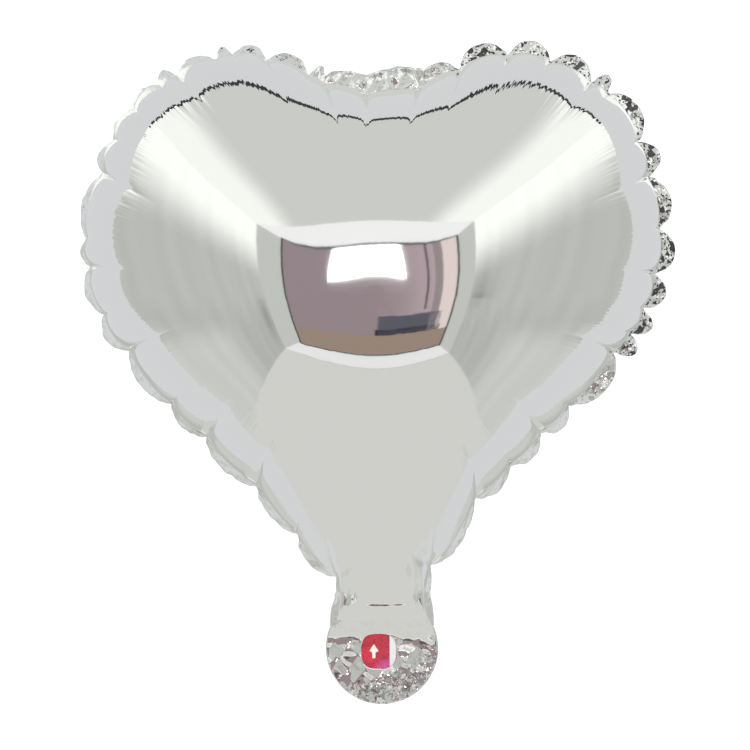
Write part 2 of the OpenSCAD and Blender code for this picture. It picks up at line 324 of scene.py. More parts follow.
def domed_sheet(side, crease_length, crease_end):
    """The gas-filled part of a sheet: its rings of points, and how far each is from the seam. Lobes
    are rounded out near the seam, and creases are pressed in, both along the dome's own slope."""
    reach = np.interp(column, place, crease_length)
    aside = np.interp(column, place, crease_end) * fade(foot_corner - np.abs(column), -4 * MM, 16 * MM)
    grid, inward = np.empty((ring_count + 1, column_count, 3)), np.empty((ring_count + 1, column_count))
    for i in range(ring_count + 1):
        lean = aside * np.minimum(along_seam(plan_inward[i], column) / reach, 1.2)
        at = column + lean * fade(ring_size[i], 0.25, 0.6)
        grid[i] = np.stack([along_seam(plan_x[i], at), side * along_seam(plan_height[i], at),
                            along_seam(plan_z[i], at)], axis=1)
        inward[i] = along_seam(plan_inward[i], at)
    near_pinch = lobes(column)[2]
    grid[..., 1] += along_seam(seam_swing, column) * np.exp(-inward / (4 * MM))
    spare = np.where(on_foot, tab_gap(grid[0, :, 0], grid[0, :, 2]), rim_gap) - rim_gap
    grid[..., 1] += side * (rim_gap + spare * np.exp(-inward / (3 * MM)))
    normal = normals(grid)
    normal *= np.sign((normal[..., 1:2] * side).sum())

    # Long creases part the film into pillows, and each short lobe is a small pillow at the rim. Both
    # are proud by their depth, and fade as a bell curve over their reach in from the seam.
    long_place = place[crease_length > long_crease]
    gap = np.clip(np.searchsorted(long_place, column) - 1, 0, len(long_place) - 2)
    pillow = np.clip((column - long_place[gap]) / np.diff(long_place)[gap], 0, 1)
    pillow = (4 * pillow * (1 - pillow)) ** 0.6
    rounded = (pillow_depth * pillow * np.exp(-(inward / pillow_reach) ** 2)
               + lobe_depth * (1 - near_pinch) * np.exp(-(inward / lobe_reach) ** 2))
    rounded = np.where(on_foot[None], 0, rounded)

    # A crease is a wide hollow with a sharp one along its middle, and runs out by the power 1.4.
    pressed = np.zeros_like(inward)
    for middle, run in zip(place, crease_length):
        off = np.abs(column - middle)
        left = np.clip(1 - inward / run, 0, 1)
        wide = 0.75 * MM * np.exp(-off / (1.5 * MM))
        sharp = 0.60 * MM * np.exp(-(off / (0.5 * MM)) ** 2)
        pressed += (wide + sharp)[None] * left ** 1.4 * min(1, run / full_crease)
    moved = (rounded - pressed) * fade(inward, 0, 2.5 * MM)
    neck_fold = folded(grid[..., 0], grid[..., 2]) * fade(inward, 0, 1.5 * MM)
    moved -= neck_fold * (1 if side < 0 else back_fold_share)
    return grid + normal * moved[..., None], inward


# The sealed rim outside the seam stands out as fans, widest between two pinches and folded back at
# them. It leans back on the left and low on the right, and nearly faces the front elsewhere. At the
# cleft the cut edge runs straighter than the seam, so the rim is widest there.
tilt_places = np.array([-330, -290, -200, -60, -30, -20, 0, 20, 200, 215, 290, 330]) * MM
fan_tilt = np.radians(np.interp(column, tilt_places, [10, 40, 62, 55, 35, 5, -3, 0, 5, 48, 45, 10]))
pinch_tilt = np.radians(78)
fan_before, fan_share, _ = lobes(column)
fan_tilt += np.radians(np.random.default_rng(31).uniform(-11, 11, len(place)))[fan_before]
fan = np.where(on_foot, 1, np.clip(np.sin(np.pi * fan_share), 0, 1) ** 0.55)
tilt = pinch_tilt + (fan_tilt - pinch_tilt) * fan
width_places = np.array([-330, -285, -250, -24, -12, -2, 8, 14, 22, 250, 285, 330]) * MM
width_values = np.array([3.5, 3.5, 5.0, 4.6, 6.0, 7.4, 8.6, 8.0, 5.0, 5.2, 3.5, 3.5]) * MM
rim_width = np.interp(column, width_places, width_values)
at_cleft = fade(column, -24 * MM, -18 * MM) * fade(-column, -22 * MM, -17 * MM)
rim_width *= np.maximum(0.22 + 0.78 * fan, at_cleft)
tilt = tilt * (1 - at_cleft) + fan_tilt * at_cleft
tilt = np.where(on_foot, 0, tilt)


def tab_wave(x, z):
    """How far the crumpled tab stands off its plane: large, middling and fine zigzag folds added
    up, the fine ones low on the right. It is flat at the foot and grows below it."""
    grown = fade(tab_line - 1.5 * MM - z, 0, 8 * MM)
    lower_right = fade(x - 2 * z, 44 * MM, 62 * MM)
    large = zigzag(x, z, 11 * MM, 1.25 * MM, seed=18, folds=4)
    middling = zigzag(x, z, 5 * MM, 0.18 * MM, seed=12, folds=4)
    fine = zigzag(x, z, 2.6 * MM, 0.14 * MM, seed=13, folds=5)
    return grown * (large + middling + lower_right * fine)


seam_xyz = np.stack([
    along_seam(part, column) for part in (seam_plan[:, 0], seam_swing, seam_plan[:, 1])], axis=1)
outwards = np.stack([along_seam(out_of_seam[:, i], column) for i in (0, 1)], axis=1)
lean_out = np.stack([outwards[:, 0] * np.cos(tilt), np.sin(tilt), outwards[:, 1] * np.cos(tilt)], axis=1)
rim_edge = seam_xyz + lean_out * rim_width[:, None]
corner_edge = np.stack([
    np.sign(column) * corner_x, np.zeros(column_count), np.full(column_count, tab_line)], axis=1)
foot_edge = corner_edge.copy()
foot_edge[:, 0] = seam_xyz[:, 0] * corner_x / foot_half
near_corner = fade(np.abs(column), foot_corner - 5 * MM, foot_corner)[:, None]
rim_edge = np.where(on_foot[:, None], foot_edge, rim_edge + (corner_edge - rim_edge) * near_corner)
# Rows of the rim, as shares of its width from the cut edge in to the seam.
rim_rows = np.array([1, 0.88, 0.76, 0.64, 0.52, 0.4, 0.28, 0.16, 0.05])
rim_out = rim_rows[:, None] * rim_width[None, :]


def rim_middle():
    """The middle of the sealed rim between the two sheets. The fans are crumpled, less so towards
    the seam, and in larger flat folds at the cleft."""
    rim = seam_xyz[None] + rim_rows[:, None, None] * (rim_edge - seam_xyz)[None]
    normal = normals(rim)
    normal *= -np.sign(normal[..., 1:2].mean())
    far = column[None] + 0 * rim_out
    fine = zigzag(far, rim_out, 2.6 * MM, 0.34 * MM, seed=21, folds=7)
    fine = fine + zigzag(far, rim_out, 7 * MM, 0.5 * MM, seed=22, folds=3)
    broad = zigzag(far, rim_out, 9 * MM, 1.7 * MM, seed=25, folds=3)
    crumple = fine * (1 - at_cleft) + (0.35 * fine + broad) * at_cleft
    still = np.where(on_foot, 0, 1 - near_corner[:, 0])[None]
    return rim + normal * (crumple * rim_rows[:, None] ** 0.7 * still)[..., None], normal


def join_rings(rings, towards_front):
    """The faces between closed rings of points, outermost first. Where a ring has half as many
    points as the one round it, three triangles close each pair of steps."""
    faces, start = [], 0
    for outer, inner in zip(rings[:-1], rings[1:]):
        a = start + np.arange(len(outer))
        b = start + len(outer) + np.arange(len(inner))
        a_next, b_next = np.roll(a, -1), np.roll(b, -1)
        if len(inner) == len(outer):
            new = np.stack([a, b, b_next, a_next], axis=1).tolist()
        else:
            middle, after = a[1::2], np.roll(a[::2], -1)
            new = np.vstack([
                np.stack([a[::2], b, middle], axis=1),
                np.stack([b, b_next, middle], axis=1),
                np.stack([middle, b_next, after], axis=1)]).tolist()
        faces += new if towards_front else [face[::-1] for face in new]
        start += len(outer)
    return faces


bend_heights = np.array([-17.5, -6.5, 11]) * MM
bend_depth = 3.2 * MM
bend_shifts = np.linspace(-1.4, 1.4, 9) * MM
tail_sway = 1.6 * MM


def make_piece(name, points, faces, material, thickness, **values):
    """A smooth-shaded film of the given thickness, at the origin. The tail hangs a little to the
    right, and the foot is bent forwards: its bend rises and falls evenly with height, and is the
    mean of nine copies a little apart. Points at one place become one, and each named value is
    kept on the points."""
    points = np.array(points)
    bend = np.interp(points[:, 2:] + bend_shifts, bend_heights, (0, bend_depth, 0))
    points[:, 1] -= bend.mean(axis=1)
    points[:, 0] += tail_sway * fade(-points[:, 2], -26 * MM, 4 * MM)
    mesh = bpy.data.meshes.new(name)
    mesh.from_pydata(points.tolist(), [], faces)
    for key, numbers in values.items():
        layer = mesh.attributes.new(key, "FLOAT", "POINT")
        layer.data.foreach_set("value", np.asarray(numbers, np.float32))
    merged = bmesh.new()
    merged.from_mesh(mesh)
    bmesh.ops.remove_doubles(merged, verts=merged.verts, dist=1e-7)
    merged.to_mesh(mesh)
    merged.free()
    mesh.polygons.foreach_set("use_smooth", np.ones(len(mesh.polygons), bool))
    mesh.materials.append(material)
    piece = bpy.data.objects.new(name, mesh)
    bpy.context.scene.collection.objects.link(piece)
    solid = piece.modifiers.new("film", "SOLIDIFY")
    solid.thickness = thickness
    solid.offset = -1
    return piece


# The fill window is cut in the tab's front sheet, a little to one side of the arrow.
arrow_low, arrow_high = (np.array(corner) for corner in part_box("fill_arrow"))
window_middle = (arrow_low + arrow_high)[[0, 2]] / 2 + [1.8 * MM, 0]
window_half = 6.2 * MM
edge_steps = 152


def tab_rings(side, with_window, shares=np.linspace(0, 1, 25)):
    """Rings from the tab's edge to the window's edge, which is a square with its corners rounded
    so far that x cubed plus z cubed stays the same. Without a window they go on to its middle."""
    top = foot_edge[on_foot][:, [0, 2]]
    top = top[np.argsort(top[:, 0])]
    top = np.vstack([[[-corner_x, tab_line]], top, [[corner_x, tab_line]]])
    turn = np.linspace(corner_angle, -corner_angle, edge_steps)[1:-1]
    round_edge = np.stack([np.sin(turn), -np.cos(turn)], axis=1) * tab_radius + [0, tab_middle]
    edge = np.vstack([top, round_edge])
    away = edge - window_middle
    away /= np.linalg.norm(away, axis=1, keepdims=True)
    cube_root = (np.abs(away) ** 3).sum(axis=1, keepdims=True) ** (1 / 3)
    window = window_middle + away * window_half / cube_root
    rings = [edge + (window - edge) * share for share in shares]
    if not with_window:
        rings += [window + (window_middle - window) * share for share in np.linspace(0, 1, 11)[1:]]
    return [
        np.stack([r[:, 0], side * tab_gap(*r.T) + tab_wave(*r.T), r[:, 1]], axis=1) for r in rings]


# Strength of the fine puckers along the seam, in pairs of place and strength. They crowd round the
# long creases of the lobes, and are strongest a little way in from the seam.
pucker_places, pucker_values = np.array([
    (-300, 0.3), (-225, 0.5), (-200, 0.3), (-152, 0.4), (-125, 1.0), (-110, 0.5), (-92, 1.1),
    (-80, 1.3), (-70, 0.7), (-45, 0.5), (0, 0.6), (40, 0.7), (60, 1.0), (80, 1.2), (92, 0.4),
    (120, 0.5), (155, 0.5), (226, 0.4), (300, 0.3)]).T
pucker_middle, pucker_spread = 10 * MM, 7 * MM

# Strength of the seal's grain round the rim, and of the painted shade on its dark facets: strong on the
# right side, faint on the left and low.
grain_places = np.array([-330, -230, -60, -22, 20, 34, 184, 192, 208, 218, 330]) * MM
rim_grain_and_shade = np.interp(
    column, grain_places, [0.03, 0.12, 0.14, 0.22, 0.3, 1.0, 1.0, 0.45, 0.40, 0.08, 0.03])

# From these rings inwards, a ring has a half, a quarter, an eighth and a sixteenth of the points.
halvings = {26: 1, 35: 2, 42: 3, 47: 4}
# The depth into the film that is given to points far from any seam.
far_in = 0.1


def whole_sheet(name, side, lengths, ends_aside, with_window, material):
    """One sheet with its rim, its dome and its tab. On its points it keeps how far each is along
    and in from the seam, how strong the seal's grain and its painted shade are, and how strong the fine
    puckers are."""
    domed, inward = domed_sheet(side, lengths, ends_aside)
    rim, normal = rim_middle()
    rim = rim - side * rim_gap * normal
    rim[:, on_foot, 1] = side * tab_gap(rim[:, on_foot, 0], rim[:, on_foot, 2])
    rings, kept = list(rim), [
        np.stack([column, -out, rim_grain_and_shade, 0 * column], axis=1) for out in rim_out]
    level = 0
    for i in range(ring_count):
        level = halvings.get(i, level)
        step = 2 ** level
        rings.append(domed[i][::step])
        strength = np.interp(column, pucker_places * MM, pucker_values)
        strength = strength * np.exp(-((inward[i] - pucker_middle) / pucker_spread) ** 2)
        kept.append(np.stack([column, inward[i], 0 * column, strength], axis=1)[::step])
    heart_faces = join_rings(rings, side < 0)
    middle_index = sum(len(r) for r in rings)
    last = np.arange(middle_index - len(rings[-1]), middle_index)
    cap = np.stack([last, np.full(len(last), middle_index), np.roll(last, -1)], axis=1).tolist()
    heart_faces += cap if side < 0 else [face[::-1] for face in cap]
    tab = tab_rings(side, with_window)
    tab_faces = [[v + middle_index + 1 for v in face] for face in join_rings(tab, side < 0)]
    tab_points = np.vstack(tab)
    # The tab's grain, and with it the painted shade of its facets, is strong low on the right.
    grain = 0.03 + 0.45 * fade(tab_points[:, 0] - 2 * tab_points[:, 2], 52 * MM, 72 * MM)
    tab_kept = np.stack([0 * grain, 0 * grain + far_in, grain, 0 * grain], axis=1)
    points = np.vstack(rings + [domed[-1].mean(axis=0, keepdims=True), tab_points])
    values = np.vstack(kept + [[[0, far_in, 0, 0]], tab_kept])
    return make_piece(
        name, points, heart_faces + tab_faces, material, film,
        seam_along=values[:, 0], seam_in=values[:, 1], sealed=values[:, 2], puckers=values[:, 3])


foil = bpy.data.materials.new("metallised_film")
foil.use_nodes = True
foil_shader = foil.node_tree.nodes["Principled BSDF"]
foil_shader.inputs["Metallic"].default_value = 1.0


def node(material, kind, *links, **sockets):
    """A new node. Links give its inputs from other nodes by place, and sockets are set by name."""
    made = material.node_tree.nodes.new(kind)
    for key, value in sockets.items():
        if key.islower():
            setattr(made, key, value)
        else:
            made.inputs[key.replace("_", " ")].default_value = value
    for place_in, source in enumerate(links):
        if isinstance(source, (int, float, tuple)):
            made.inputs[place_in].default_value = source
        elif source is not None:
            material.node_tree.links.new(source, made.inputs[place_in])
    return made


def kept_value(name):
    """Reads one of the values kept on the sheet's points."""
    return node(foil, "ShaderNodeAttribute", attribute_name=name).outputs["Fac"]


def maths(operation, first, second):
    """One sum on two numbers or sockets."""
    return node(foil, "ShaderNodeMath", first, second, operation=operation).outputs[0]


def bump(height_from, distance, strength, onto=None):
    """Adds a relief of the given depth to the surface."""
    made = node(foil, "ShaderNodeBump", Distance=distance)
    for key, source in (("Height", height_from), ("Strength", strength), ("Normal", onto)):
        if isinstance(source, (int, float)):
            made.inputs[key].default_value = source
        elif source is not None:
            foil.node_tree.links.new(source, made.inputs[key])
    return made.outputs["Normal"]


where = foil.node_tree.nodes.new("ShaderNodeTexCoord").outputs["Object"]
seal_grain_and_shade = kept_value("sealed")
# Slow waviness over the whole film.
waviness = node(foil, "ShaderNodeTexNoise", where, Scale=22.0, Detail=1.0, Roughness=0.4)
relief = bump(waviness.outputs["Fac"], 0.5 * MM, 0.25)
# Fine puckers that run in from the seam, a millimetre or two apart.
pucker_place = node(
    foil, "ShaderNodeCombineXYZ", maths("MULTIPLY", kept_value("seam_along"), 700.0),
    maths("MULTIPLY", kept_value("seam_in"), 60.0))
puckers = node(foil, "ShaderNodeTexNoise", pucker_place.outputs[0], Scale=1.0, Detail=1.0, Roughness=0.5)
relief = bump(puckers.outputs["Fac"], 0.22 * MM, maths("MULTIPLY", kept_value("puckers"), 1.3), relief)
# The crinkled grain that the sealing jaws leave: small flat facets, each turned its own way.
# Some facets are painted nearly black, as painted shade where a fold of the film would reflect its own
# dark hollows.
facets = relief
painted_crease_shade = 0.0
for cell_scale, turned in ((520.0, 0.42), (1500.0, 0.34)):
    cells = node(foil, "ShaderNodeTexVoronoi", where, Scale=cell_scale)
    cell_value = node(foil, "ShaderNodeSeparateColor", cells.outputs["Color"]).outputs["Red"]
    painted_crease_shade = maths("MAXIMUM", painted_crease_shade, maths("GREATER_THAN", cell_value, 0.84))
    centred = node(
        foil, "ShaderNodeVectorMath", cells.outputs["Color"], (0.5, 0.5, 0.5), operation="SUBTRACT")
    scaled = node(foil, "ShaderNodeVectorMath", centred.outputs[0], operation="SCALE")
    foil.node_tree.links.new(maths("MULTIPLY", seal_grain_and_shade, turned), scaled.inputs["Scale"])
    facets = node(foil, "ShaderNodeVectorMath", facets, scaled.outputs[0], operation="ADD").outputs[0]
facets = node(foil, "ShaderNodeVectorMath", facets, operation="NORMALIZE").outputs[0]
foil.node_tree.links.new(facets, foil_shader.inputs["Normal"])
# Base colour: the film's own silver, and nearly black painted shade on the facets picked out above, more
# where the grain is strong.
metal_and_painted_shade = node(foil, "ShaderNodeValToRGB", maths("MULTIPLY", painted_crease_shade, seal_grain_and_shade))
metal_and_painted_shade.color_ramp.elements[0].color = (0.86, 0.865, 0.855, 1)
metal_and_painted_shade.color_ramp.elements[1].color = (0.10, 0.095, 0.10, 1)
foil.node_tree.links.new(metal_and_painted_shade.outputs["Color"], foil_shader.inputs["Base Color"])
# The film is a little hazier in places, and most so where it is sealed.
haze = node(foil, "ShaderNodeTexNoise", where, Scale=14.0, Detail=3.0, Roughness=0.6)
haze_amount = maths(
    "ADD", maths("MULTIPLY", haze.outputs["Fac"], 0.05), maths("MULTIPLY", seal_grain_and_shade, 0.06))
foil.node_tree.links.new(maths("ADD", haze_amount, 0.015), foil_shader.inputs["Roughness"])

front_sheet = whole_sheet("front_sheet", -1, crease, crease_lean, True, foil)
back_sheet = whole_sheet("back_sheet", 1, np.roll(crease, 3), np.roll(crease_lean, 3), False, foil)
for sheet, nodes in (
        (front_sheet, ("front_panel", "tab_front_sheet")),
        (back_sheet, ("back_panel", "tab_back_sheet"))):
    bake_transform(sheet)
    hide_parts(*nodes)

# ---- Heat seals ----------------------------------------------------------------------------------
# The sheets' plastic inner faces melt together under a hot grooved jaw. The seal runs round the rim,
# across the neck's foot on both sides of the valve, and round the tab.

valve_low, valve_high = (np.array(corner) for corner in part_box("valve_back_film"))
valve_middle, valve_half = (valve_low[0] + valve_high[0]) / 2, (valve_high[0] - valve_low[0]) / 2
seal_thickness = 0.06 * MM

seal = bpy.data.materials.new("melted_seal")
seal.use_nodes = True
seal_shader = seal.node_tree.nodes["Principled BSDF"]
seal_shader.inputs["Base Color"].default_value = (0.78, 0.79, 0.79, 1)
seal_where = seal.node_tree.nodes.new("ShaderNodeTexCoord").outputs["Object"]
# The grooves of the jaw, and patches that melted more than others.
grooves = node(seal, "ShaderNodeTexVoronoi", seal_where, Scale=1300.0)
groove_relief = node(seal, "ShaderNodeBump", Distance=0.04 * MM, Strength=0.6)
seal.node_tree.links.new(grooves.outputs["Distance"], groove_relief.inputs["Height"])
seal.node_tree.links.new(groove_relief.outputs["Normal"], seal_shader.inputs["Normal"])
patches = node(seal, "ShaderNodeTexNoise", seal_where, Scale=160.0, Detail=2.0)
seal.node_tree.links.new(
    node(seal, "ShaderNodeMapRange", patches.outputs["Fac"], 0.3, 0.7, 0.25, 0.5).outputs[0],
    seal_shader.inputs["Roughness"])


def seal_strip(name, rows, beside_valve):
    """A seal between the sheets, from rows of points across it. It leaves out the valve's width."""
    count = len(rows[0])
    first = np.arange(count)
    second = np.roll(first, -1)
    first, second = first[~beside_valve], second[~beside_valve]
    square = np.stack([first, first + count, second + count, second], axis=1)
    faces = np.vstack([square + i * count for i in range(len(rows) - 1)])
    points = np.vstack(rows)
    points[:, 1] -= seal_thickness / 2
    used, faces = np.unique(faces, return_inverse=True)
    return make_piece(name, points[used], faces.reshape(-1, 4).tolist(), seal, seal_thickness)


def over_valve(line, foot_line):
    """Which steps of a closed line cross the valve."""
    middle = (line + np.roll(line, -1, axis=0)) / 2
    return (np.abs(middle[:, 0] - valve_middle) < valve_half) & (middle[:, 2] > foot_line)


rim_line, _ = rim_middle()
rim_line[:, on_foot, 1] = 0
rim_crosses = over_valve(rim_line[0], -1) & on_foot
rim_seal = seal_strip("rim_seal", [*rim_line[1:], seam_xyz], rim_crosses)
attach(rim_seal, "balloon")
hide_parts("edge_weld", "cross_weld")

tab_lines = tab_rings(0, False, np.linspace(0.02, 0.22, 9))[:9]
tab_seal = seal_strip("tab_seal", tab_lines, over_valve(tab_lines[0], tab_middle))
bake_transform(tab_seal)
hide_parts("tab_weld")

# ---- Valve ---------------------------------------------------------------------------------------
# Two strips of clear plastic film, welded along their sides into a flat channel. They run from the
# tab's window up into the gas, which presses them shut.

mouth_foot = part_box("mouth_back_film")[0][2]

def valve_layer(name, x_low, x_high, z_low, z_high, depth, thickness, material, half_width=None):
    """A flat strip between the sheets that follows the tab's crumple: x and z on a grid of about
    half a millimetre, and y is the layer's depth on top of the tab's wave. A half width for each
    height shapes a print."""
    grid_step = 0.5 * MM
    z = np.linspace(z_high, z_low, int((z_high - z_low) / grid_step) + 2)
    u = np.linspace(-1, 1, int((x_high - x_low) / grid_step) + 2)
    half = np.full(len(z), (x_high - x_low) / 2) if half_width is None else half_width(z)
    x = (x_low + x_high) / 2 + half[:, None] * u[None, :]
    z = z[:, None] + 0 * x
    points = np.stack([x, tab_wave(x, z) + depth, z], axis=2).reshape(-1, 3)
    a = np.arange(x.size).reshape(x.shape)[:-1, :-1].ravel()
    wide = x.shape[1]
    faces = np.stack([a, a + wide, a + wide + 1, a + 1], axis=1).tolist()
    return make_piece(name, points, faces, material, thickness)


clear_film = bpy.data.materials.new("clear_valve_film")
clear_film.use_nodes = True
clear_shader = clear_film.node_tree.nodes["Principled BSDF"]
clear_shader.inputs["Base Color"].default_value = (0.90, 0.93, 0.92, 1)
clear_shader.inputs["Alpha"].default_value = 0.03
clear_shader.inputs["Specular IOR Level"].default_value = 0.25
clear_where = clear_film.node_tree.nodes.new("ShaderNodeTexCoord").outputs["Object"]
# Slight haze in patches, and long shallow ripples from rolling.
clear_haze = node(clear_film, "ShaderNodeTexNoise", clear_where, Scale=120.0, Detail=2.0)
clear_film.node_tree.links.new(
    node(clear_film, "ShaderNodeMapRange", clear_haze.outputs["Fac"], 0.3, 0.7, 0.06, 0.2).outputs[0],
    clear_shader.inputs["Roughness"])
ripples = node(clear_film, "ShaderNodeTexWave", clear_where, Scale=90.0, Distortion=4.0)
ripple_relief = node(clear_film, "ShaderNodeBump", Distance=0.03 * MM, Strength=0.4)
clear_film.node_tree.links.new(ripples.outputs["Fac"], ripple_relief.inputs["Height"])
clear_film.node_tree.links.new(ripple_relief.outputs["Normal"], clear_shader.inputs["Normal"])

valve_film = 0.03 * MM
for name, depth, nodes in (
        ("valve_front", -0.12 * MM, ("valve_front_film", "mouth_front_film")),
        ("valve_back", 0.09 * MM, ("valve_back_film", "mouth_back_film"))):
    valve_sheet = valve_layer(
        name, valve_low[0], valve_high[0], mouth_foot, valve_high[2], depth, valve_film, clear_film)
    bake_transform(valve_sheet)
    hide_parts(*nodes)

# The welds down the valve's sides fill the space between its films.
channel_half = 5.6 * MM
side_parts = []
for name, x_low, x_high in (
        ("valve_weld_left", valve_low[0], valve_middle - channel_half),
        ("valve_weld_right", valve_middle + channel_half, valve_high[0])):
    side_parts.append(valve_layer(
        name, x_low, x_high, mouth_foot, valve_high[2], -0.085 * MM, 0.17 * MM, seal))
    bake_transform(side_parts[-1])
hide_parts("valve_side_welds", "mouth_side_welds")

# ---- Release ink and arrow -----------------------------------------------------------------------
# Red ink that bears the jaw's heat is printed on the valve, from the window up through the foot's
# seal, so that the seal doesn't close it. A cream arrow printed on it shows the way in.

ink_low, ink_high = (np.array(corner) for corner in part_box("release_ink_lower"))
ink_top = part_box("release_ink_upper")[1][2]

ink = bpy.data.materials.new("red_release_ink")
ink.use_nodes = True
ink_shader = ink.node_tree.nodes["Principled BSDF"]
for socket, value in (("Metallic", 0.8), ("Specular IOR Level", 0.2)):
    ink_shader.inputs[socket].default_value = value
ink_where = ink.node_tree.nodes.new("ShaderNodeTexCoord").outputs["Object"]
# The print is painted dull and dark at the top, as painted shade, and painted pink low on its right, as a
# painted highlight of bright light through the ink.
painted_glare_slope = node(ink, "ShaderNodeVectorMath", ink_where, (32.0, 0.0, -53.0), operation="DOT_PRODUCT")
ink_patches = node(ink, "ShaderNodeTexNoise", ink_where, Scale=260.0, Detail=2.0)
ink_unevenness = node(ink, "ShaderNodeMath", ink_patches.outputs["Fac"], 0.10, operation="MULTIPLY")
painted_glare_place = node(
    ink, "ShaderNodeMath", painted_glare_slope.outputs["Value"], ink_unevenness.outputs[0], operation="ADD")
ink_and_painted_light = node(
    ink, "ShaderNodeValToRGB",
    node(ink, "ShaderNodeMapRange", painted_glare_place.outputs[0], 0.68, 1.68, 0.0, 1.0).outputs[0])
ink_and_painted_light_stops = ink_and_painted_light.color_ramp.elements
# The ramp's dark first stop is painted shade at the print's top; its two pink stops are a painted
# highlight low on the right; the reds between are the ink's own.
ink_and_painted_light_stops[0].color = (0.30, 0.01, 0.03, 1)
for position, shade in (
        (0.2, (0.72, 0.0, 0.03, 1)), (0.72, (0.80, 0.0, 0.06, 1)), (0.86, (0.95, 0.08, 0.42, 1))):
    ink_and_painted_light_stops.new(position).color = shade
ink_and_painted_light_stops[-1].color = (0.97, 0.12, 0.5, 1)
ink.node_tree.links.new(ink_and_painted_light.outputs["Color"], ink_shader.inputs["Base Color"])
ink.node_tree.links.new(
    node(ink, "ShaderNodeMapRange", ink_patches.outputs["Fac"], 0.3, 0.7, 0.18, 0.4).outputs[0],
    ink_shader.inputs["Roughness"])
print_thickness = 0.02 * MM
ink_print = valve_layer(
    "ink_print", ink_low[0], ink_high[0], ink_low[2], ink_top, 0.06 * MM, print_thickness, ink)
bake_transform(ink_print)
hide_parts("release_ink_upper", "release_ink_lower")

cream = bpy.data.materials.new("cream_arrow_ink")
cream.use_nodes = True
cream_shader = cream.node_tree.nodes["Principled BSDF"]
cream_where = cream.node_tree.nodes.new("ShaderNodeTexCoord").outputs["Object"]
# Printed ink lies thinner in specks, where it looks pinker.
specks = node(cream, "ShaderNodeTexNoise", cream_where, Scale=900.0, Detail=2.0)
cream_colours = node(cream, "ShaderNodeValToRGB", specks.outputs["Fac"])
cream_colours.color_ramp.elements[0].color = (0.80, 0.55, 0.45, 1)
cream_colours.color_ramp.elements[0].position = 0.3
cream_colours.color_ramp.elements[1].color = (0.95, 0.88, 0.76, 1)
cream_colours.color_ramp.elements[1].position = 0.5
cream.node_tree.links.new(cream_colours.outputs["Color"], cream_shader.inputs["Base Color"])
cream.node_tree.links.new(
    node(cream, "ShaderNodeMapRange", specks.outputs["Fac"], 0.3, 0.7, 0.5, 0.35).outputs[0],
    cream_shader.inputs["Roughness"])
arrow_half = (arrow_high[0] - arrow_low[0]) / 2
arrow_neck = (arrow_low[2] + arrow_high[2]) / 2


def arrow_width(z):
    """Half the arrow's width at each height: a narrow shaft, then a head that comes to a point."""
    head = arrow_half * np.clip((arrow_high[2] - z) / (arrow_high[2] - arrow_neck), 0.02, 1)
    return np.where(z >= arrow_neck, head, arrow_half / 3)


arrow_print = valve_layer(
    "arrow_print", arrow_low[0], arrow_high[0], arrow_low[2], arrow_high[2],
    0.02 * MM, print_thickness, cream, arrow_width)
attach(arrow_print, "tab")
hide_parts("fill_arrow")

# ---- Studio --------------------------------------------------------------------------------------
# A small white light tent round the balloon, with an opening towards the camera and a plain room
# beyond it. Its walls light the film and show in it, and only the pale floor is seen directly.


card_points = 41


def stage_card(name, corners, colour, strength=1.0, shade=None, sag=(0, 0)):
    """A glowing card through four corners. Shade gives its strength at each place from the share of
    the way from the first corner to the second, and from the first to the last. Its first and last
    edges hang by the sag in their middles, as parabolas."""
    u, v = np.meshgrid(np.linspace(0, 1, card_points), np.linspace(0, 1, card_points))
    a, b, c, d = (np.array(corner, float) for corner in corners)
    p, q = u.reshape(-1, 1), v.reshape(-1, 1)
    points = a * (1 - p) * (1 - q) + b * p * (1 - q) + c * p * q + d * (1 - p) * q
    points[:, 2:] -= (sag[0] * (1 - q) + sag[1] * q) * 4 * p * (1 - p)
    index = np.arange(card_points * (card_points - 1)).reshape(-1, card_points)[:, :-1].ravel()
    above = index + card_points
    mesh = bpy.data.meshes.new(name)
    faces = np.stack([index, index + 1, above + 1, above], axis=1).tolist()
    mesh.from_pydata(points.tolist(), [], faces)
    glow = np.ones((len(points), 4))
    glow[:, :3] = np.array(colour) * strength * (1 if shade is None else shade(u, v).reshape(-1, 1))
    glow_layer = mesh.attributes.new("glow", "FLOAT_COLOR", "POINT")
    glow_layer.data.foreach_set("color", glow.ravel().astype(np.float32))
    finish = bpy.data.materials.new(name)
    finish.use_nodes = True
    finish.node_tree.nodes.clear()
    colour_from = node(finish, "ShaderNodeAttribute", attribute_name="glow").outputs["Color"]
    lamp = node(finish, "ShaderNodeEmission", colour_from)
    node(finish, "ShaderNodeOutputMaterial", lamp.outputs[0])
    mesh.materials.append(finish)
    card = bpy.data.objects.new(name, mesh)
    bpy.context.scene.collection.objects.link(card)
    card.visible_camera = False
    card.visible_shadow = False
    card.visible_diffuse = False


def upright(left, right, low, high, y):
    """The corners of an upright rectangle that faces the front, round from the lower left."""
    return [(left, y, low), (right, y, low), (right, y, high), (left, y, high)]


def card_ring(name, outer, inner, looks, sag=(0, 0)):
    """Four cards between two rectangles: low, right, high and left. Each look is a colour and a
    shade, and u runs round the ring from the lower left. The high card sags."""
    for i, (colour, shade) in enumerate(looks):
        j = (i + 1) % 4
        edge_sag = sag if i == 2 else (0, 0)
        stage_card(
            f"{name}_{i}", [outer[i], outer[j], inner[j], inner[i]], colour, 1.0, shade, edge_sag)


def ceiling_glow(u, v):
    """Brighter towards the ceiling's two sides, where the lamps stand behind the cloth."""
    return 0.69 + 0.40 * fade(np.abs(u - 0.5), 0.22, 0.36)


